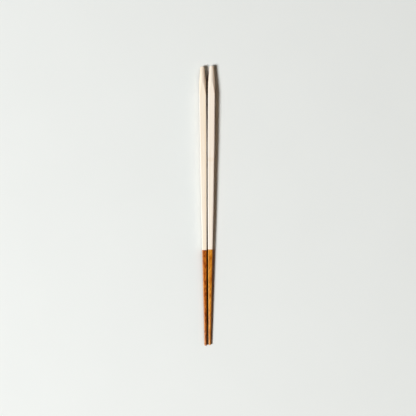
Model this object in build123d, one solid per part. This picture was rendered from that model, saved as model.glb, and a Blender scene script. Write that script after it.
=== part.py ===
from build123d import *
import os
from itertools import combinations
from math import atan, cos, degrees, sin

# A pair of bamboo chopsticks lying side by side on a table.
# Each stick is whittled square from one strip of bamboo. The handle is all but parallel. From its end
# the stick tapers, gently at first and then faster to the tip, where it is all but round. Its four long
# edges are rounded over, and its butt is turned to a blunt cone that runs out on the flat faces in four
# arched scallops.
# The table is at Z = 0, the butts point along +Y, and the origin lies under the middle of the pair.

# Driving dimensions of a stick, in millimetres
LENGTH = 230.0             # tip to butt along the stick's axis
TAPER_LENGTH = 168.0       # tip to where the handle ends and the taper begins
BEND_LENGTH = 112.0        # tip to where the taper grows steeper
BUTT_WIDTH = 5.75          # square blank at the butt end, before the head is turned
HANDLE_WIDTH = 5.62        # square section where the taper begins
BEND_WIDTH = 4.75          # square section where the taper grows steeper
TIP_WIDTH = 1.90           # square section at the tip
HANDLE_EDGE_RADIUS = 0.70  # rounding of the long edges along the handle
LOWER_EDGE_RADIUS = 0.90   # rounding of the long edges from the bend to the tip
HEAD_LENGTH = 13.0         # butt end to where the cone runs out on the middle of a face
HEAD_END_DIAMETER = 3.50   # flat end of the cone, before its rim is rounded
HEAD_RIM_RADIUS = 0.50     # rounding of that rim
TIP_RIM_RADIUS = 0.30      # rounding of the tip's end
LEAST_TIP_FLAT = 0.09      # flat that is left at the tip between two rounded edges, at least

# How the two sticks lie, in millimetres
HANDLE_GAP = 0.85          # clear space between them where the tapers begin
TIP_GAP = 1.50             # clear space between them at the tips
STAGGER = 0.50             # how far the right stick lies ahead of the left one, toward the butts

# Sizes that follow from the driving dimensions
HANDLE_LENGTH = LENGTH - TAPER_LENGTH
HANDLE_RATE = (BUTT_WIDTH - HANDLE_WIDTH) / HANDLE_LENGTH
SHOULDER_WIDTH = BUTT_WIDTH - HANDLE_RATE * HEAD_LENGTH
HEAD_END_RADIUS = HEAD_END_DIAMETER / 2
CONE_SLOPE = (SHOULDER_WIDTH / 2 - HEAD_END_RADIUS) / HEAD_LENGTH

# The long edges can be rounded over no further than the tip's width allows.
TIP_EDGE_RADIUS = min(LOWER_EDGE_RADIUS, (TIP_WIDTH - LEAST_TIP_FLAT) / 2)

# Stations and widths that the flats run straight between
TIP = (0, TIP_WIDTH)
BEND = (BEND_LENGTH, BEND_WIDTH)
HANDLE_END = (TAPER_LENGTH, HANDLE_WIDTH)
SHOULDER = (LENGTH - HEAD_LENGTH, SHOULDER_WIDTH)

# The sticks turn toward each other until both gaps are met.
TOE_IN = atan((HANDLE_WIDTH - TIP_WIDTH + HANDLE_GAP - TIP_GAP) / 2 / TAPER_LENGTH)


def section(station, width, edge_radius):
    """Rounded square section of the blank, at a distance from the tip along +Z."""
    return Pos(0, 0, station) * RectangleRounded(width, width, edge_radius)


def skin_between(lower, upper):
    """Faces that join two sections: a plane for each flat and a ruled face for each rounded edge."""
    faces = []
    for low, high in zip(lower.edges(), upper.edges()):
        if low.geom_type == GeomType.LINE:
            outline = Wire.make_polygon([low @ 0, low @ 1, high @ 1, high @ 0])
            faces.append(Face(outline))
        else:
            faces.append(Face.make_surface_from_curves(low, high))
    return faces


def tapered_blank():
    """The square stick before its head is turned, standing on its tip along +Z."""
    tip = section(*TIP, TIP_EDGE_RADIUS)
    bend = section(*BEND, LOWER_EDGE_RADIUS)
    handle_end = section(*HANDLE_END, HANDLE_EDGE_RADIUS)
    butt = section(LENGTH, BUTT_WIDTH, HANDLE_EDGE_RADIUS)
    faces = [tip.face(), butt.face()]
    faces += skin_between(tip, bend)
    faces += skin_between(bend, handle_end)
    faces += skin_between(handle_end, butt)
    return Solid(Shell(faces))


def turned_waste():
    """Ring of bamboo that the turning takes off around the conical head."""
    clear_radius = BUTT_WIDTH
    cone_run = (clear_radius - HEAD_END_RADIUS) / CONE_SLOPE
    cone_end = (HEAD_END_RADIUS, LENGTH)
    cone_start = (clear_radius, LENGTH - cone_run)
    outer_corner = (clear_radius, LENGTH)
    half_section = make_face(Polyline(cone_end, cone_start, outer_corner, close=True))
    return revolve(Plane.XZ * half_section, axis=Axis.Z)


def chopstick():
    """One finished stick, standing on its tip along +Z."""
    stick = tapered_blank() - turned_waste()
    stick = fillet(stick.edges().group_by(Axis.Z)[-1], HEAD_RIM_RADIUS)
    return fillet(stick.edges().group_by(Axis.Z)[0], TIP_RIM_RADIUS)


def width_on_line(ends, station):
    """Width at a station of a straight taper between two ends, each a station and its width."""
    (low, low_width), (high, high_width) = ends
    return low_width + (high_width - low_width) * (station - low) / (high - low)


def resting_ends(stick):
    """The two sections that the stick lies on, which stand out furthest under its weight."""
    weight = stick.center(CenterOf.MASS).Z
    pairs = combinations((TIP, BEND, HANDLE_END, SHOULDER), 2)
    around_weight = [ends for ends in pairs if ends[0][0] < weight < ends[1][0]]
    return max(around_weight, key=lambda ends: width_on_line(ends, weight))


def laid_on_table(stick):
    """The stick lying along +Y on the table, its middle over the origin.

    Its weight is over the gentle part of its taper, so that flat lies on the table. The axis leans by
    half the gentle taper, and the butt and the tip both stand a little clear of the table.
    """
    (low, low_width), (high, high_width) = resting_ends(stick)
    lean = atan((high_width - low_width) / 2 / (high - low))
    axis_height_at_tip = low_width / 2 * cos(lean) - low * sin(lean)
    upright_to_lying = Rot(degrees(lean) - 90, 0, 0)
    return Pos(0, -LENGTH / 2, axis_height_at_tip) * upright_to_lying * stick


def beside_its_mate(stick, side):
    """The lying stick in its place: side is -1 for the left stick and +1 for the right one.

    It pivots on its inner edge where the taper begins, half the gap from the middle of the pair.
    """
    pivot_y = TAPER_LENGTH - LENGTH / 2
    pivot = Pos(side * HANDLE_GAP / 2, pivot_y + side * STAGGER / 2, 0)
    inner_edge_to_pivot = Pos(side * HANDLE_WIDTH / 2, -pivot_y, 0)
    return pivot * Rot(0, 0, -side * degrees(TOE_IN)) * inner_edge_to_pivot * stick


os.makedirs("parts", exist_ok=True)
lying_stick = laid_on_table(chopstick())
for name, side in (("chopstick_left", -1), ("chopstick_right", 1)):
    export_step(beside_its_mate(lying_stick, side), f"parts/{name}.step")
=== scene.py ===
"""A pair of bamboo chopsticks on a pale table, seen from straight above.

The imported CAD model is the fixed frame. Each stick is drawn again here as a finer mesh of the same
sizes, with the figure of its bamboo and the brown lacquer on its tip, and stands for its CAD node.
Sizes are in millimetres in the classes and turn to metres where a mesh, lamp or camera is placed.
"""

import logging
import math
from dataclasses import dataclass, field
from enum import Enum
from typing import Any

import bpy
from mathutils import Matrix, Vector

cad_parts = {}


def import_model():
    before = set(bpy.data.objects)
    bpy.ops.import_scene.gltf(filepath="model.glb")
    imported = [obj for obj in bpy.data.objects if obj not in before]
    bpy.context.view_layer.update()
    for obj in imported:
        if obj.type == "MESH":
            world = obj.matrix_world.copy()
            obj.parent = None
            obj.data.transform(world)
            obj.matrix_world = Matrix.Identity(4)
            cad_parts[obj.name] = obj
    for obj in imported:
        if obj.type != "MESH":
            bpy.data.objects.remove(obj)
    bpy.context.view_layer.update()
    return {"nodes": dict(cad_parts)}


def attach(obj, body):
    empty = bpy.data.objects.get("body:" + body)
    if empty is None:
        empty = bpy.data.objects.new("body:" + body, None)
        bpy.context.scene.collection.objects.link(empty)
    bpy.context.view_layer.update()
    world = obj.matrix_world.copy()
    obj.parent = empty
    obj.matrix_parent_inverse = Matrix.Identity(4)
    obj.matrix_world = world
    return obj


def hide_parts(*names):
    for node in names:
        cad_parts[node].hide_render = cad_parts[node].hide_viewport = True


LOG = logging.getLogger("chopsticks")
METRES = 0.001

# The sRGB curve, which is straight below its knee and a power above it
SRGB_KNEE = 0.04045
SRGB_SLOPE = 12.92
SRGB_OFFSET = 0.055
SRGB_POWER = 2.4

# Cosine and sine of the turns that carry a quarter of an outline all the way round
QUARTER_TURNS = ((1, 0), (0, 1), (-1, 0), (0, -1))

Point2 = tuple[float, float]
Point3 = tuple[float, float, float]
Colour = tuple[float, float, float, float]
Tree = bpy.types.NodeTree
Node = bpy.types.Node
Socket = bpy.types.NodeSocket
Pattern = Node | Socket
Paint = Node | Colour

# Node options that are used again and again
EASED = {"interpolation_type": "SMOOTHSTEP"}
COLOURS = {"data_type": "RGBA"}
NUMBERS = {"data_type": "FLOAT"}


def colour(hex_code: str) -> Colour:
    """Turns an sRGB hex code into a linear colour.

    Args:
        hex_code: Six hex digits after a hash sign.

    Returns:
        Linear red, green and blue, and an alpha of 1.
    """
    shares = [int(hex_code[i:i + 2], 16) / 255 for i in (1, 3, 5)]
    linear = []
    for share in shares:
        if share <= SRGB_KNEE:
            linear.append(share / SRGB_SLOPE)
        else:
            linear.append(((share + SRGB_OFFSET) / (1 + SRGB_OFFSET)) ** SRGB_POWER)
    red, green, blue = linear
    return red, green, blue, 1.0


def add_node(
    tree: Tree,
    kind: str,
    settings: dict[str, Any] | None = None,
    inputs: dict[str | int, Any] | None = None,
) -> Node:
    """Adds one node, sets its options, and fills or links its inputs.

    Args:
        tree: Node tree that the node goes into.
        kind: Blender's name for the kind of node.
        settings: Options of the node by name.
        inputs: Inputs by name, or by number where names repeat. A node or a socket is linked, and
            anything else is set.

    Returns:
        The new node.
    """
    node = tree.nodes.new(kind)
    for option, value in (settings or {}).items():
        setattr(node, option, value)
    for key, value in (inputs or {}).items():
        usable = [socket for socket in node.inputs if socket.enabled]
        socket = usable[key] if isinstance(key, int) else next(s for s in usable if s.name == key)
        if isinstance(value, Node):
            value = next(s for s in value.outputs if s.enabled)
        if isinstance(value, Socket):
            tree.links.new(value, socket)
        else:
            socket.default_value = value
    return node


def empty_material(name: str) -> bpy.types.Material:
    """Makes a node material with nothing in it yet.

    Args:
        name: Name of the material.

    Returns:
        The material.
    """
    made = bpy.data.materials.new(name)
    made.use_nodes = True
    made.node_tree.nodes.clear()
    return made


class Side(Enum):
    """Which stick of the pair, as the sign of X on its side."""

    LEFT = -1
    RIGHT = 1


@dataclass(frozen=True)
class StickSizes:
    """Sizes of one stick in millimetres, as in the CAD model. Stations count from the tip."""

    length: float = 230.0
    taper_length: float = 168.0
    bend_length: float = 112.0
    butt_width: float = 5.75
    handle_width: float = 5.62
    bend_width: float = 4.75
    tip_width: float = 1.90
    handle_edge_radius: float = 0.70
    lower_edge_radius: float = 0.90
    head_length: float = 13.0
    head_end_diameter: float = 3.50
    head_rim_radius: float = 0.50
    tip_rim_radius: float = 0.30

    @property
    def half_taper(self) -> float:
        """Angle in radians between the axis and a flat of the gentle part of the taper."""
        narrowing = (self.handle_width - self.bend_width) / 2
        return math.atan(narrowing / (self.taper_length - self.bend_length))

    @property
    def axis_height_at_tip(self) -> float:
        """Height of the axis over the table at the tip, with the gentle taper lying flat."""
        fall = self.bend_length * math.sin(self.half_taper)
        return self.bend_width / 2 * math.cos(self.half_taper) - fall

    @property
    def cone_slope(self) -> float:
        """How fast the turned head narrows, in radius per length."""
        shoulder = self.half_width(self.length - self.head_length)
        return (shoulder - self.head_end_diameter / 2) / self.head_length

    def half_width(self, station: float) -> float:
        """Half the width across the flats at a station.

        Args:
            station: Distance from the tip in millimetres.

        Returns:
            The half width on straight lines from the tip to the bend, the handle and the butt.
        """
        if station <= self.bend_length:
            share = station / self.bend_length
            return (self.tip_width + (self.bend_width - self.tip_width) * share) / 2
        if station <= self.taper_length:
            share = (station - self.bend_length) / (self.taper_length - self.bend_length)
            return (self.bend_width + (self.handle_width - self.bend_width) * share) / 2
        share = (station - self.taper_length) / (self.length - self.taper_length)
        return (self.handle_width + (self.butt_width - self.handle_width) * share) / 2

    def edge_radius(self, station: float) -> float:
        """Radius of the rounded long edges at a station.

        Args:
            station: Distance from the tip in millimetres.

        Returns:
            The lower radius as far as the bend, then evenly down to the handle's radius.
        """
        share = (station - self.bend_length) / (self.taper_length - self.bend_length)
        share = min(max(share, 0.0), 1.0)
        return self.lower_edge_radius + (self.handle_edge_radius - self.lower_edge_radius) * share

    def cone_radius(self, station: float) -> float:
        """Radius of the turned head's cone at a station."""
        return self.head_end_diameter / 2 + self.cone_slope * (self.length - station)


@dataclass(frozen=True)
class PairLayout:
    """How the two sticks lie side by side, in millimetres, as in the CAD model."""

    handle_gap: float = 0.85
    tip_gap: float = 1.50
    stagger: float = 0.50

    def placing(self, sizes: StickSizes, side: Side) -> Matrix:
        """Moves a stick that stands on its tip along +Z to where it lies.

        Args:
            sizes: Sizes of the stick.
            side: Which of the two sticks it is.

        Returns:
            The move as a matrix, in millimetres.
        """
        sign = side.value
        narrowing = sizes.handle_width - sizes.tip_width + self.handle_gap - self.tip_gap
        toe_in = math.atan(narrowing / 2 / sizes.taper_length)
        pivot_y = sizes.taper_length - sizes.length / 2
        lying = Matrix.Rotation(sizes.half_taper - math.pi / 2, 4, "X")
        on_table = Matrix.Translation((0, -sizes.length / 2, sizes.axis_height_at_tip)) @ lying
        inner_edge_to_pivot = Matrix.Translation((sign * sizes.handle_width / 2, -pivot_y, 0))
        turned = Matrix.Rotation(-sign * toe_in, 4, "Z") @ inner_edge_to_pivot @ on_table
        pivot = (sign * self.handle_gap / 2, pivot_y + sign * self.stagger / 2, 0)
        return Matrix.Translation(pivot) @ turned


@dataclass(frozen=True)
class Wash:
    """A thin coat of colour that follows a pattern.

    It begins at the first pattern value of its span and has its full strength at the second.
    """

    hue: str
    where: Pattern
    span: Point2
    strength: float

    def over(self, tree: Tree, base: Paint) -> Node:
        """Lays the wash over a colour.

        Args:
            tree: Node tree of the material.
            base: Colour underneath, as a node or as plain numbers.

        Returns:
            The washed colour.
        """
        start, full = self.span
        ends = {"Value": self.where, "From Min": start, "From Max": full, "To Max": self.strength}
        share = add_node(tree, "ShaderNodeMapRange", EASED, ends)
        coats = {"Factor": share, "A": base, "B": colour(self.hue)}
        return add_node(tree, "ShaderNodeMix", COLOURS, coats)


def washed(tree: Tree, hex_code: str, washes: list[Wash]) -> Paint:
    """Lays washes over a plain colour, one after another.

    Args:
        tree: Node tree of the material.
        hex_code: Hex code of the colour underneath.
        washes: The washes, in the order in which they are laid.

    Returns:
        The washed colour.
    """
    paint: Paint = colour(hex_code)
    for wash in washes:
        paint = wash.over(tree, paint)
    return paint


@dataclass(frozen=True)
class StripCut:
    """Where in the culm a stick's strip was split, which sets its figure.

    The fibres are shifted, in millimetres, and turned, in radians, from stick to stick. Where the
    strip crosses a joint of the culm, that is given as a distance from the tip.
    """

    shift: Point3
    turn: float
    culm_joint: float | None = None


@dataclass
class FibreFigure:
    """The fibres of one bamboo strip as a solid pattern, so faces, cone and end grain agree.

    Bamboo has no rings. Darker fibre bundles run the whole length in paler pith. A face cut along
    them shows fine streaks, a tapered face cuts them slowly into long dashes, the turned cone cuts
    them into short ones, and the end grain shows them as dots. Widths, spacings and runs are in
    millimetres, and a detail is how many finer layers lie on a pattern.
    """

    tree: Tree
    cut: StripCut
    # Bundles of a small culm lie about half a millimetre apart, under a pixel of the render.
    bundle_spacing: float = 0.55
    bundle_run: float = 150.0
    # Bundles crowd together in places. The crowds are drawn coarse enough to show as streaks.
    crowd_spacing: float = 1.5
    crowd_run: float = 90.0
    # Single fibres are finer than a hair. They are drawn as coarse as they need to show.
    fibre_width: float = 0.35
    fibre_run: float = 24.0
    fibre_detail: float = 4.0
    # Broad soft bands of warmer cream
    tone_width: float = 2.6
    tone_run: float = 55.0
    tone_detail: float = 2.0
    # Cut ends of fibres leave specks on a sanded face, also drawn coarser than they are.
    fleck_width: float = 0.7
    fleck_run: float = 2.6
    fleck_detail: float = 2.0
    # All fibres sway together, up to this far and as slowly as this along the strip.
    sway: float = 0.5
    sway_run: float = 40.0
    sway_width: float = 1000.0
    sway_detail: float = 1.0
    # Distance from a rod's middle where the pith is clear and where the core is full, in spacings
    core_span: Point2 = (0.50, 0.16)
    # How far a joint of the culm wanders from fibre to fibre
    joint_wander: float = 1.5
    across: Socket = field(init=False)
    along: Socket = field(init=False)
    lit_flank: Node = field(init=False)
    shaded_flank: Node = field(init=False)
    strip: Node = field(init=False)
    bundles: Node = field(init=False)
    crowds: Node = field(init=False)
    fibres: Node = field(init=False)
    tone: Node = field(init=False)
    flecks: Node = field(init=False)
    arris: Socket = field(init=False)
    end_grain: Socket = field(init=False)

    def __post_init__(self) -> None:
        """Adds the nodes of the pattern and keeps them by name."""
        tree = self.tree
        place = add_node(tree, "ShaderNodeAttribute", {"attribute_name": "strip"}).outputs["Vector"]
        apart = add_node(tree, "ShaderNodeSeparateXYZ", {}, {"Vector": place})
        self.across, self.along = apart.outputs["X"], apart.outputs["Z"]
        # The -X flat faces the key lamp and the +X flat is turned away from it. The first pattern
        # falls below 0 on the -X flat and the second rises above 0 on the +X flat. They place
        # painted shade and painted warm light on the flanks.
        depth = add_node(tree, "ShaderNodeMath", {"operation": "ABSOLUTE"}, {0: apart.outputs["Y"]})
        beyond = {0: self.across, 1: depth}
        self.lit_flank = add_node(tree, "ShaderNodeMath", {"operation": "ADD"}, beyond)
        self.shaded_flank = add_node(tree, "ShaderNodeMath", {"operation": "SUBTRACT"}, beyond)
        cut = {"Vector": place, "Location": self.cut.shift, "Rotation": (0, 0, self.cut.turn)}
        turned = add_node(tree, "ShaderNodeMapping", {}, cut)
        drift = self.streaks(turned, self.sway_width, self.sway_run, self.sway_detail)
        swing = {0: drift.outputs["Color"], 1: (self.sway, self.sway, 0.0), 2: turned}
        self.strip = add_node(tree, "ShaderNodeVectorMath", {"operation": "MULTIPLY_ADD"}, swing)
        self.bundles = self.cores(self.bundle_spacing, self.bundle_run)
        self.crowds = self.cores(self.crowd_spacing, self.crowd_run)
        self.fibres = self.streaks(self.strip, self.fibre_width, self.fibre_run, self.fibre_detail)
        self.tone = self.streaks(self.strip, self.tone_width, self.tone_run, self.tone_detail)
        self.flecks = self.streaks(self.strip, self.fleck_width, self.fleck_run, self.fleck_detail)
        arris = add_node(tree, "ShaderNodeAttribute", {"attribute_name": "arris"})
        self.arris = arris.outputs["Fac"]
        end_grain = add_node(tree, "ShaderNodeAttribute", {"attribute_name": "end_grain"})
        self.end_grain = end_grain.outputs["Fac"]

    def streaks(self, place: Node, width: float, run: float, detail: float) -> Node:
        """Soft streaks along the strip.

        Args:
            place: Where on the strip the pattern is read.
            width: Width of a streak in millimetres.
            run: Length of a streak in millimetres.
            detail: How many finer layers lie on the streaks.

        Returns:
            The streaks, from about 0.3 to 0.7.
        """
        cell = {"Vector": place, "Scale": (1 / width, 1 / width, 1 / run)}
        cells = add_node(self.tree, "ShaderNodeMapping", {}, cell)
        noise = {"Vector": cells, "Scale": 1.0, "Detail": detail}
        return add_node(self.tree, "ShaderNodeTexNoise", {}, noise)

    def cores(self, spacing: float, run: float) -> Node:
        """Rods of fibre along the strip.

        Args:
            spacing: Distance from one rod to the next in millimetres.
            run: Length of a rod in millimetres.

        Returns:
            1 in the core of a rod and 0 in the pith between rods.
        """
        cell = {"Vector": self.strip, "Scale": (1 / spacing, 1 / spacing, 1 / run)}
        cells = add_node(self.tree, "ShaderNodeMapping", {}, cell)
        rods = add_node(self.tree, "ShaderNodeTexVoronoi", {}, {"Vector": cells, "Scale": 1.0})
        pith, core = self.core_span
        ends = {"Value": rods.outputs["Distance"], "From Min": pith, "From Max": core}
        return add_node(self.tree, "ShaderNodeMapRange", EASED, ends)

    def from_joint(self, station: float) -> Node:
        """Distance along the strip from a joint of the culm.

        Args:
            station: Distance of the joint from the tip in millimetres.

        Returns:
            The distance in millimetres, which wanders from fibre to fibre.
        """
        wander = {0: self.fibres, 1: 2 * self.joint_wander, 2: self.along}
        level = add_node(self.tree, "ShaderNodeMath", {"operation": "MULTIPLY_ADD"}, wander)
        above = {0: level, 1: station + self.joint_wander}
        away = add_node(self.tree, "ShaderNodeMath", {"operation": "SUBTRACT"}, above)
        return add_node(self.tree, "ShaderNodeMath", {"operation": "ABSOLUTE"}, {0: away})


@dataclass(frozen=True)
class SandedBamboo:
    """Bare bamboo, split, planed and sanded.

    To the eye it is an even, matt cream, warmer in long soft bands, with fine darker streaks that
    all run along the stick. The -X flank, which faces the key lamp, is dulled with painted shade,
    and the colour grows yellower toward the +X flank as painted warm light. The sanded edges are
    greyer, and the cut ends are darker with dots in them.
    """

    cream: str
    warm_cream: str
    # The colour called pith is painted shade that dulls the -X flank, which faces the key lamp; the
    # next colour is painted warm light on the +X flank, turned away from it
    pith: str
    shaded_flank_warmth: str
    bundle: str
    sanded_edge: str
    end_grain: str
    cut_bundle: str
    roughness: float = 0.56
    relief: float = 0.55
    # Distance from a joint of the culm where its band begins and where it is full
    joint_band: Point2 = (2.6, 0.8)
    joint_strength: float = 0.22

    def paint(self, figure: FibreFigure) -> Paint:
        """Colour of the bare bamboo.

        Args:
            figure: Fibres of the strip.

        Returns:
            Cream in broad tones with fibre streaks, greyer sanded edges and darker end grain.
        """
        tree = figure.tree
        cut_ends = {0: figure.bundles, 1: figure.end_grain}
        dots = add_node(tree, "ShaderNodeMath", {"operation": "MULTIPLY"}, cut_ends)
        # Colour, pattern, pattern values where the wash begins and is full, and its strength
        washes = [
            Wash(self.warm_cream, figure.tone, (0.35, 0.65), 1.0),
            # Painted warm light: yellower across the stick toward the +X flank, turned away from the
            # key lamp
            Wash(self.shaded_flank_warmth, figure.across, (-1.0, 2.6), 0.3),
            # Painted shade dulls the -X flank, which faces the key lamp; painted warm light yellows
            # the +X flank
            Wash(self.pith, figure.lit_flank, (0.2, -0.4), 0.8),
            Wash(self.shaded_flank_warmth, figure.shaded_flank, (-0.2, 0.4), 0.4),
            Wash(self.bundle, figure.crowds, (0.0, 1.0), 0.16),
            Wash(self.bundle, figure.fibres, (0.40, 0.75), 0.22),
            Wash(self.sanded_edge, figure.arris, (0.0, 0.9), 0.9),
            Wash(self.end_grain, figure.end_grain, (0.1, 1.0), 0.5),
            Wash(self.bundle, figure.bundles, (0.0, 1.0), 0.22),
            Wash(self.bundle, figure.flecks, (0.62, 0.72), 0.25),
            Wash(self.cut_bundle, dots, (0.2, 1.0), 0.7),
        ]
        # A joint of the culm leaves a faint darker band across the strip.
        if figure.cut.culm_joint is not None:
            distance = figure.from_joint(figure.cut.culm_joint)
            washes.append(Wash(self.bundle, distance, self.joint_band, self.joint_strength))
        return washed(tree, self.cream, washes)


@dataclass(frozen=True)
class WipedLacquer:
    """Brown lacquer, wiped on thin by hand.

    To the eye it is a warm, see-through brown with a low gloss. It lies uneven, so it is mottled in
    slanting patches. Painted shade makes it deeper on the +X flank, turned away from the key lamp.
    Fibres show through as dark lines, and the rounded edges are rubbed to gold, a wear that also
    stands in for a painted highlight where the key lamp catches them.
    """

    deep: str
    middle: str
    light: str
    # Gold of rubbed edges, which also serves as a painted highlight on the edges the key lamp
    # catches
    worn_and_highlight: str
    # How far from the tip the lacquer's line is, how far it creeps up fibres and how soft it is
    length: float = 79.0
    creep: float = 0.3
    line_blur: float = 0.12
    roughness: float = 0.18
    relief: float = 0.22
    patch_width: float = 1.9
    patch_run: float = 6.5
    patch_detail: float = 3.0
    patch_slant: float = 0.3

    def paint(self, figure: FibreFigure) -> Paint:
        """Colour of the lacquer.

        Args:
            figure: Fibres of the strip.

        Returns:
            Brown in slanting patches with dark fibres, gold on the rounded edges as wear and painted
            highlight, and deeper on the +X flank as painted shade.
        """
        tree = figure.tree
        slant = {"Vector": figure.strip, "Rotation": (self.patch_slant, self.patch_slant, 0.0)}
        leaning = add_node(tree, "ShaderNodeMapping", {}, slant)
        patches = figure.streaks(leaning, self.patch_width, self.patch_run, self.patch_detail)
        # Colour, pattern, pattern values where the wash begins and is full, and its strength
        washes = [
            Wash(self.light, patches, (0.45, 0.66), 0.95),
            Wash(self.deep, patches, (0.54, 0.35), 0.75),
            Wash(self.deep, figure.crowds, (0.0, 1.0), 0.30),
            # Wear of the rounded edges, whose gold also stands in for a painted highlight where the
            # key lamp catches them
            Wash(self.worn_and_highlight, figure.arris, (0.4, 1.0), 0.7),
            # Painted shade deepens the +X flank, turned away from the key lamp, and covers the gold
            # of its edges
            Wash(self.deep, figure.shaded_flank, (-0.9, 0.0), 0.85),
            Wash(self.light, figure.flecks, (0.50, 0.30), 0.9),
            Wash(self.deep, figure.flecks, (0.50, 0.70), 0.75),
            Wash(self.deep, figure.fibres, (0.47, 0.72), 0.35),
            Wash(self.deep, figure.bundles, (0.0, 1.0), 0.30),
        ]
        return washed(tree, self.middle, washes)

    def covered(self, figure: FibreFigure) -> Node:
        """Where the lacquer lies.

        Args:
            figure: Fibres of the strip.

        Returns:
            1 below the lacquer's line, which creeps a little way up single fibres, and 0 above it.
        """
        creep = {0: figure.fibres, 1: -2 * self.creep, 2: figure.along}
        edge = add_node(figure.tree, "ShaderNodeMath", {"operation": "MULTIPLY_ADD"}, creep)
        line = self.length - self.creep
        ends = {"Value": edge, "From Min": line + self.line_blur, "From Max": line - self.line_blur}
        return add_node(figure.tree, "ShaderNodeMapRange", EASED, ends)


@dataclass(frozen=True)
class StickFinish:
    """The one bamboo finish of a stick: sanded bare, with wiped lacquer on its last third."""

    name: str
    cut: StripCut
    bare: SandedBamboo
    lacquer: WipedLacquer
    # How much rougher the fibres are than the face, and how many millimetres they stand out of it
    fibre_dulling: float = 0.14
    fibre_depth: float = 0.04
    ior: float = 1.5
    specular_level: float = 0.3

    def material(self) -> bpy.types.Material:
        """Makes the stick's material.

        Returns:
            A material that reads the stick's own attributes strip, arris and end_grain.
        """
        made = empty_material(self.name)
        tree = made.node_tree
        figure = FibreFigure(tree, self.cut)
        covered = self.lacquer.covered(figure)
        coats = {"Factor": covered, "A": self.bare.paint(figure), "B": self.lacquer.paint(figure)}
        base = add_node(tree, "ShaderNodeMix", COLOURS, coats)
        # The lacquer fills the grain, so it is smoother than the bare face and its relief is lower.
        polish = {"Factor": covered, "A": self.bare.roughness, "B": self.lacquer.roughness}
        smoothness = add_node(tree, "ShaderNodeMix", NUMBERS, polish)
        uneven = {0: figure.fibres, 1: self.fibre_dulling, 2: smoothness}
        roughness = add_node(tree, "ShaderNodeMath", {"operation": "MULTIPLY_ADD"}, uneven)
        fill = {"Factor": covered, "A": self.bare.relief, "B": self.lacquer.relief}
        relief = add_node(tree, "ShaderNodeMix", NUMBERS, fill)
        ridges = {0: figure.fibres, 1: figure.bundles}
        height = add_node(tree, "ShaderNodeMath", {"operation": "ADD"}, ridges)
        grain = {"Strength": relief, "Distance": self.fibre_depth * METRES, "Height": height}
        bump = add_node(tree, "ShaderNodeBump", {}, grain)
        surface = {
            "Base Color": base,
            "Roughness": roughness,
            "IOR": self.ior,
            "Specular IOR Level": self.specular_level,
            "Normal": bump,
        }
        shader = add_node(tree, "ShaderNodeBsdfPrincipled", {}, surface)
        add_node(tree, "ShaderNodeOutputMaterial", {}, {"Surface": shader})
        return made


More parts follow.
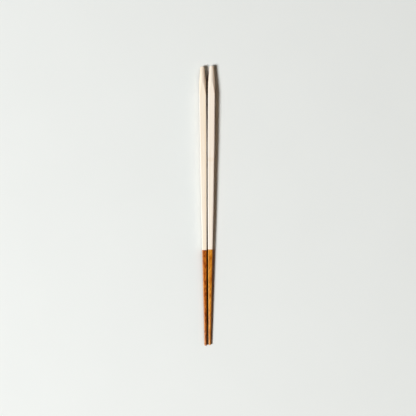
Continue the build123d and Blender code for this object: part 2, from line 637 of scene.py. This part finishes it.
@dataclass
class Chopstick:
    """One stick: a square tapering shaft with rounded edges and a turned conical head."""

    side: Side
    finish: StickFinish
    sizes: StickSizes = field(default_factory=StickSizes)
    layout: PairLayout = field(default_factory=PairLayout)
    # How many parts a flat and a rounded edge have, and how many rows each stretch has
    flat_parts: int = 10
    edge_parts: int = 8
    lower_rows: int = 112
    upper_rows: int = 56
    handle_rows: int = 36
    runout_rows: int = 24
    cone_rows: int = 20
    rim_rows: int = 6
    # Rings on a flat end, as shares of its own size
    end_shares: Point3 = (0.15, 0.4, 0.7)
    # The head's own rows begin this many head lengths from the butt, short of the first cut.
    head_reach: float = 2.1
    # Steps of halving that find where the cone meets the blank
    halvings: int = 40
    # Powers by which rows draw together at the scallops and rounded edges fade out before them
    row_crowding: int = 2
    edge_fade: int = 4
    # How far the foot of a rounded edge and the turned cone are sanded, where a ridge is 1
    edge_foot: float = 0.3
    cone_sanding: float = 0.45
    # The cone cuts the fibres at a slant, so it shows this share of end grain.
    cone_end_grain: float = 0.45
    rings: list[list[Point3]] = field(init=False, default_factory=list)
    arris: list[float] = field(init=False, default_factory=list)
    end_grain: list[float] = field(init=False, default_factory=list)

    @property
    def name(self) -> str:
        """Name of the piece."""
        return f"{self.side.name.lower()}_stick"

    @property
    def head_start(self) -> float:
        """Station a little short of where the cone first cuts the rounded edges."""
        return self.sizes.length - self.head_reach * self.sizes.head_length

    def outline(self, station: float, inset: float = 0.0) -> list[Point2]:
        """Rounded square outline of the blank.

        Args:
            station: Distance from the tip in millimetres.
            inset: How far the outline is drawn in from the surface.

        Returns:
            Points around the axis, starting at the middle of the +X flat.
        """
        half = self.sizes.half_width(station) - inset
        radius = self.sizes.edge_radius(station) - inset
        corner = half - radius
        half_flat = self.flat_parts // 2
        quarter = [(half, corner * i / half_flat) for i in range(half_flat)]
        for i in range(self.edge_parts):
            angle = math.pi / 2 * i / self.edge_parts
            quarter.append((corner + radius * math.cos(angle), corner + radius * math.sin(angle)))
        quarter += [(corner * (1 - i / half_flat), half) for i in range(half_flat)]
        points = []
        for cos, sin in QUARTER_TURNS:
            points += [(x * cos - y * sin, x * sin + y * cos) for x, y in quarter]
        return points

    def edge_shares(self) -> list[float]:
        """How near each point of an outline is to the ridge of a rounded edge.

        Returns:
            0 on a flat, the edge's foot where it meets one, and 1 on the ridge.
        """
        flat = [0.0] * (self.flat_parts // 2)
        swell = 1 - self.edge_foot
        edge = []
        for i in range(self.edge_parts):
            edge.append(self.edge_foot + swell * math.sin(math.pi * i / self.edge_parts))
        return (flat + edge + [self.edge_foot] + flat[1:]) * len(QUARTER_TURNS)

    def runout(self, column: int) -> float:
        """Station where the turned cone meets the blank along one column of points.

        Args:
            column: Place of the point in the outline.

        Returns:
            The station in millimetres, found by halving.
        """
        low, high = self.head_start, self.sizes.length
        for _ in range(self.halvings):
            middle = (low + high) / 2
            if math.hypot(*self.outline(middle)[column]) > self.sizes.cone_radius(middle):
                high = middle
            else:
                low = middle
        return (low + high) / 2

    def add_ring(self, ring: list[Point3], edge: float, end: float, turned: float = 0.0) -> None:
        """Adds one ring of points.

        Args:
            ring: The points around the stick.
            edge: How much of the rounded edges is left on this ring, from 0 to 1.
            end: How much of the ring is end grain, from 0 to 1.
            turned: How far the ring was sanded all round as the head was turned, from 0 to 1.
        """
        self.rings.append(ring)
        self.arris += [max(share * edge, turned) for share in self.edge_shares()]
        self.end_grain += [end] * len(ring)

    def add_round_ring(self, radius: float, station: float, end: float) -> None:
        """Adds a ring of the turned head that is a true circle.

        Args:
            radius: Radius of the circle in millimetres.
            station: Distance from the tip in millimetres.
            end: How much of the ring is end grain, from 0 to 1.
        """
        directions = [Vector(point).normalized() for point in self.outline(station)]
        self.add_ring([(d.x * radius, d.y * radius, station) for d in directions], 0.0, end)

    def shape_tip(self) -> None:
        """Adds the rounded end of the tip."""
        radius = self.sizes.tip_rim_radius
        flat_end = self.outline(0.0, radius)
        for share in self.end_shares:
            self.add_ring([(x * share, y * share, 0.0) for x, y in flat_end], 0.0, 1.0)
        for i in range(self.rim_rows):
            angle = math.pi / 2 * (1 - i / self.rim_rows)
            station = radius * (1 - math.sin(angle))
            outline = self.outline(station, radius * (1 - math.cos(angle)))
            self.add_ring([(x, y, station) for x, y in outline], 1.0, math.sin(angle))

    def shape_shaft(self) -> None:
        """Adds the tapered shaft and the handle, as far as the head."""
        sizes = self.sizes
        for start, end, rows in (
            (sizes.tip_rim_radius, sizes.bend_length, self.lower_rows),
            (sizes.bend_length, sizes.taper_length, self.upper_rows),
            (sizes.taper_length, self.head_start, self.handle_rows),
        ):
            for i in range(rows):
                station = start + (end - start) * i / rows
                self.add_ring([(x, y, station) for x, y in self.outline(station)], 1.0, 0.0)

    def shape_head(self) -> None:
        """Adds the head, whose rows follow the scallops where the cone runs out on the flats."""
        sizes, start = self.sizes, self.head_start
        runouts = [self.runout(column) for column in range(len(self.edge_shares()))]
        slope = math.atan(sizes.cone_slope)
        rim = sizes.head_rim_radius
        rim_start = sizes.length - rim + rim * math.sin(slope)
        # Rows draw together toward the scallops, so that the crease there stays crisp.
        for i in range(self.runout_rows + 1):
            share = 1 - (1 - i / self.runout_rows) ** self.row_crowding
            ring = []
            for column, runout in enumerate(runouts):
                station = start + (runout - start) * share
                ring.append((*self.outline(station)[column], station))
            self.add_ring(ring, 1.0 - share ** self.edge_fade, 0.0)
        for i in range(1, self.cone_rows + 1):
            share = (i / self.cone_rows) ** self.row_crowding
            ring = []
            for column, runout in enumerate(runouts):
                station = runout + (rim_start - runout) * share
                outward = Vector(self.outline(station)[column]).normalized()
                point = outward * sizes.cone_radius(station)
                ring.append((point.x, point.y, station))
            self.add_ring(ring, 0.0, self.cone_end_grain, self.cone_sanding)
        centre = sizes.head_end_diameter / 2 + sizes.cone_slope * rim - rim / math.cos(slope)
        for i in range(1, self.rim_rows + 1):
            angle = slope + (math.pi / 2 - slope) * i / self.rim_rows
            radius = centre + rim * math.cos(angle)
            station = sizes.length - rim + rim * math.sin(angle)
            self.add_round_ring(radius, station, math.sin(angle))
        for share in reversed(self.end_shares):
            self.add_round_ring(centre * share, sizes.length, 1.0)

    def faces(self) -> list[tuple[int, ...]]:
        """Faces that join each ring to the next and close both ends.

        Returns:
            Each face as the numbers of its points, outside to the eye.
        """
        around = len(self.rings[0])
        faces: list[tuple[int, ...]] = []
        for row in range(len(self.rings) - 1):
            low, high = row * around, (row + 1) * around
            for column in range(around):
                beside = (column + 1) % around
                faces.append((low + column, low + beside, high + beside, high + column))
        last = (len(self.rings) - 1) * around
        faces.append(tuple(reversed(range(around))))
        faces.append(tuple(range(last, last + around)))
        return faces

    def build(self) -> bpy.types.Object:
        """Builds the stick's mesh where it lies and puts it in the CAD node's place.

        Returns:
            The finished piece.
        """
        self.shape_tip()
        self.shape_shaft()
        self.shape_head()
        points = [point for ring in self.rings for point in ring]
        placing = self.layout.placing(self.sizes, self.side)
        mesh = bpy.data.meshes.new(self.name)
        mesh.from_pydata([placing @ Vector(p) * METRES for p in points], [], self.faces())
        mesh.shade_smooth()
        strip = mesh.attributes.new("strip", "FLOAT_VECTOR", "POINT")
        strip.data.foreach_set("vector", [value for point in points for value in point])
        for name, values in (("arris", self.arris), ("end_grain", self.end_grain)):
            mesh.attributes.new(name, "FLOAT", "POINT").data.foreach_set("value", values)
        mesh.materials.append(self.finish.material())
        piece = bpy.data.objects.new(self.name, mesh)
        bpy.context.scene.collection.objects.link(piece)
        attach(piece, "root")
        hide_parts(f"chopstick_{self.side.name.lower()}")
        return piece


@dataclass(frozen=True)
class PaintedBoard:
    """Board rolled with matt white paint.

    To the eye it is pale and all but even, with hardly a cloud in it and no gloss. Close to what
    lies on it a painted shade darkens the paint where the board sees little of the room, because
    light thrown back by pale sticks would wipe out their shade, and a deeper, browner painted shade
    fills the narrow gap between the sticks. Lengths are in millimetres.
    """

    paint: str = "#ecf0ee"
    paint_shade: str = "#e9edeb"
    # Painted shade beside the sticks and a deeper painted shade in the gap between them
    contact_shade: str = "#aaa9a8"
    gap_shade: str = "#4c2408"
    contact_reach: float = 20.0
    # How open the board is to the room where each shade begins and where it is full
    contact_span: Point2 = (1.0, 0.1)
    gap_span: Point2 = (0.48, 0.22)
    mottle: float = 60.0
    mottle_detail: float = 2.0
    roughness: float = 0.9
    ior: float = 1.3

    def material(self) -> bpy.types.Material:
        """Makes the board's material.

        Returns:
            The material.
        """
        made = empty_material("matt_painted_board")
        tree = made.node_tree
        place = add_node(tree, "ShaderNodeTexCoord").outputs["Object"]
        scale = 1 / (self.mottle * METRES)
        clouds = {"Vector": place, "Scale": scale, "Detail": self.mottle_detail}
        cloud = add_node(tree, "ShaderNodeTexNoise", {}, clouds)
        coats = {"Factor": cloud, "A": colour(self.paint), "B": colour(self.paint_shade)}
        paint = add_node(tree, "ShaderNodeMix", COLOURS, coats)
        reach = {"Distance": self.contact_reach * METRES}
        opening = add_node(tree, "ShaderNodeAmbientOcclusion", {}, reach).outputs["AO"]
        # Painted shade where the board sees little of the room, deepest in the gap between the
        # sticks
        paint = Wash(self.contact_shade, opening, self.contact_span, strength=1.0).over(tree, paint)
        paint = Wash(self.gap_shade, opening, self.gap_span, strength=1.0).over(tree, paint)
        surface = {"Base Color": paint, "Roughness": self.roughness, "IOR": self.ior}
        shader = add_node(tree, "ShaderNodeBsdfPrincipled", {}, surface)
        add_node(tree, "ShaderNodeOutputMaterial", {}, {"Surface": shader})
        return made


@dataclass
class TableTop:
    """The pale table top that the pair lies on."""

    reach: float = 1500.0
    finish: PaintedBoard = PaintedBoard()

    def build(self) -> bpy.types.Object:
        """Builds the table top.

        Returns:
            The table top.
        """
        far = self.reach * METRES
        mesh = bpy.data.meshes.new("table_top")
        rim = [(-far, -far, 0.0), (far, -far, 0.0), (far, far, 0.0), (-far, far, 0.0)]
        mesh.from_pydata(rim, [], [(0, 1, 2, 3)])
        mesh.materials.append(self.finish.material())
        table = bpy.data.objects.new("table_top", mesh)
        bpy.context.scene.collection.objects.link(table)
        return table


@dataclass(frozen=True)
class SoftLamp:
    """A round soft lamp aimed at the middle of the pair.

    Its place and width are in millimetres and its power is in watts.
    """

    name: str
    place: Point3
    width: float
    power: float
    tint: str

    def hang(self) -> None:
        """Makes the lamp and hangs it."""
        lamp = bpy.data.lights.new(self.name, "AREA")
        lamp.shape = "DISK"
        lamp.size = self.width * METRES
        lamp.energy = self.power
        lamp.color = colour(self.tint)[:3]
        holder = bpy.data.objects.new(self.name, lamp)
        place = Vector(self.place) * METRES
        turn = (-place).to_track_quat("-Z", "Y").to_matrix().to_4x4()
        holder.matrix_world = Matrix.Translation(place) @ turn
        bpy.context.scene.collection.objects.link(holder)


@dataclass
class Studio:
    """A soft key lamp at the left, a warm fill low at the right, and a room with pale walls."""

    key: SoftLamp = SoftLamp(
        name="key_lamp",
        place=(-2270.0, -1100.0, 2923.0),
        width=1320.0,
        power=184.0,
        tint="#ffffff",
    )
    fill: SoftLamp = SoftLamp(
        name="fill_lamp",
        place=(5000.0, 500.0, 900.0),
        width=2500.0,
        power=34.0,
        tint="#ffb87c",
    )
    walls: str = "#dfd3c3"
    ceiling: str = "#2b2824"
    # How far up the walls end and the ceiling begins, as the sine of the angle over the horizon
    wall_top: Point2 = (0.02, 0.26)

    def light(self) -> None:
        """Hangs the lamps and lights the room."""
        self.key.hang()
        self.fill.hang()
        world = bpy.data.worlds.new("room")
        world.use_nodes = True
        tree = world.node_tree
        tree.nodes.clear()
        way = add_node(tree, "ShaderNodeTexCoord").outputs["Generated"]
        up = add_node(tree, "ShaderNodeSeparateXYZ", {}, {"Vector": way}).outputs["Z"]
        wall_end, ceiling_start = self.wall_top
        ends = {"Value": up, "From Min": wall_end, "From Max": ceiling_start}
        rise = add_node(tree, "ShaderNodeMapRange", EASED, ends)
        paints = {"Factor": rise, "A": colour(self.walls), "B": colour(self.ceiling)}
        room = add_node(tree, "ShaderNodeMix", COLOURS, paints)
        glow = add_node(tree, "ShaderNodeBackground", {}, {"Color": room, "Strength": 1.0})
        add_node(tree, "ShaderNodeOutputWorld", {}, {"Surface": glow})
        bpy.context.scene.world = world


@dataclass
class OverheadCamera:
    """A camera that looks straight down on the pair, with its sizes in millimetres."""

    lens: float = 85.0
    sensor: float = 36.0
    # The picture is this wide at this height over the table, and centred on this point.
    frame_width: float = 342.96
    focus_height: float = 3.0
    middle: Point2 = (0.54, -1.67)
    roll_degrees: float = -0.12

    def place(self) -> bpy.types.Object:
        """Makes the camera and hands it to the scene.

        Returns:
            The camera.
        """
        lens = bpy.data.cameras.new("overhead_camera")
        lens.lens = self.lens
        lens.sensor_width = self.sensor
        camera = bpy.data.objects.new("overhead_camera", lens)
        height = self.focus_height + self.frame_width * self.lens / self.sensor
        camera.location = (self.middle[0] * METRES, self.middle[1] * METRES, height * METRES)
        camera.rotation_euler = (0.0, 0.0, math.radians(self.roll_degrees))
        bpy.context.scene.collection.objects.link(camera)
        bpy.context.scene.camera = camera
        return camera


LEFT_FINISH = StickFinish(
    name="sanded_bamboo_with_red_brown_lacquer",
    cut=StripCut(shift=(3.0, 11.0, 40.0), turn=0.6),
    bare=SandedBamboo(
        cream="#fdf2e2",
        warm_cream="#fceed7",
        pith="#eee5d9",
        shaded_flank_warmth="#f6dfb6",
        bundle="#e8cea4",
        sanded_edge="#f2ebe1",
        end_grain="#d8b98c",
        cut_bundle="#b68c5c",
    ),
    lacquer=WipedLacquer(deep="#762803", middle="#b0500c", light="#ca761e", worn_and_highlight="#e8ac4e"),
)
RIGHT_FINISH = StickFinish(
    name="sanded_bamboo_with_golden_brown_lacquer",
    cut=StripCut(shift=(17.0, 29.0, 310.0), turn=2.5, culm_joint=153.0),
    bare=SandedBamboo(
        cream="#fdf5e9",
        warm_cream="#fbf1e2",
        pith="#eee7dd",
        shaded_flank_warmth="#f5e3c4",
        bundle="#ead5b6",
        sanded_edge="#f3ede5",
        end_grain="#dcc096",
        cut_bundle="#bc9466",
    ),
    lacquer=WipedLacquer(deep="#a45006", middle="#d88618", light="#eaa53a", worn_and_highlight="#e2a446"),
)


def main() -> None:
    """Loads the frame, builds the pair on its table, lights it and sets the camera."""
    logging.basicConfig(level=logging.INFO, format="%(name)s: %(message)s")
    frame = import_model()
    LOG.info("frame: CAD nodes %s", ", ".join(sorted(frame["nodes"])))
    bpy.context.scene.view_settings.view_transform = "Standard"
    OverheadCamera().place()
    for side, finish in ((Side.LEFT, LEFT_FINISH), (Side.RIGHT, RIGHT_FINISH)):
        piece = Chopstick(side, finish).build()
        LOG.info("%s: %d faces in %s", piece.name, len(piece.data.polygons), finish.name)
    table = TableTop().build()
    LOG.info("%s: %.1f m square", table.name, table.dimensions.x)
    Studio().light()


if __name__ == "__main__":
    main()
